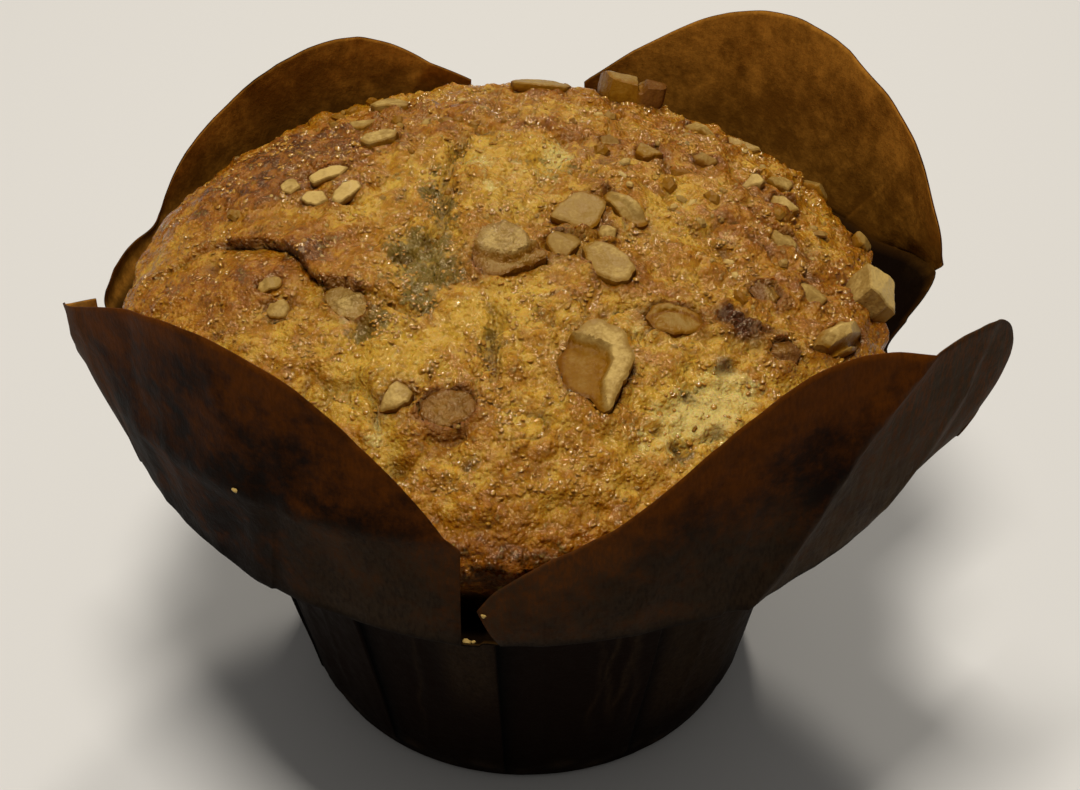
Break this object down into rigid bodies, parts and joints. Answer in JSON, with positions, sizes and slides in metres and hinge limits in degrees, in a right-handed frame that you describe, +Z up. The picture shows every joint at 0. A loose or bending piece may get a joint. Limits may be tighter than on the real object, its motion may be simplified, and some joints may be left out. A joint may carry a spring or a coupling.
{
  "type": "muffin",
  "caption": "Nut-topped muffin with a broad domed crown, standing in a dark brown folded paper cup with four rounded petals.",
  "frame": {"origin": "middle of the paper cup's flat underside", "axes": "+Z up through the cup, -Y towards the muffin's front, where two petals meet at a narrow slit, +X to its right"},
  "size_m": [0.0981, 0.088, 0.0727],
  "materials": {
    "baked_crust": "satin",
    "brown_paper": "satin",
    "chopped_nut": "satin"
  },
  "bodies": {
    "root": {"bit_back_middle": "chopped_nut", "bit_back_right": "chopped_nut", "bit_centre": "chopped_nut", "bit_left_lower": "chopped_nut", "bit_left_upper": "chopped_nut", "bit_right_upper": "chopped_nut", "bright_bit": "chopped_nut", "brown_bit_right": "chopped_nut", "chunk_back": "chopped_nut", "chunk_right": "chopped_nut", "cube_chunk_right": "chopped_nut", "dark_chunk_right": "chopped_nut", "hooked_half": "chopped_nut", "lobed_half": "chopped_nut", "muffin": "baked_crust", "oval_back": "chopped_nut", "oval_slice": "chopped_nut", "pale_bit_right": "chopped_nut", "pale_flake": "chopped_nut", "pale_lump": "chopped_nut", "pale_wedge": "chopped_nut", "paper_cup": "brown_paper", "pink_chunk_left": "chopped_nut", "rim_bit": "chopped_nut", "rim_sliver": "chopped_nut", "shard_inner": "chopped_nut", "shard_long": "chopped_nut", "shard_low": "chopped_nut", "shard_outer": "chopped_nut", "slab_back": "chopped_nut", "slice_centre": "chopped_nut", "sliver_back_left": "chopped_nut", "sliver_back_right": "chopped_nut", "sliver_centre": "chopped_nut", "sunken_chunk": "chopped_nut", "walnut_centre": "chopped_nut", "wedge_centre": "chopped_nut", "yellow_chunk_back": "chopped_nut", "yellow_chunk_front": "chopped_nut", "yellow_chunk_middle": "chopped_nut"}
  },
  "joints": []
}
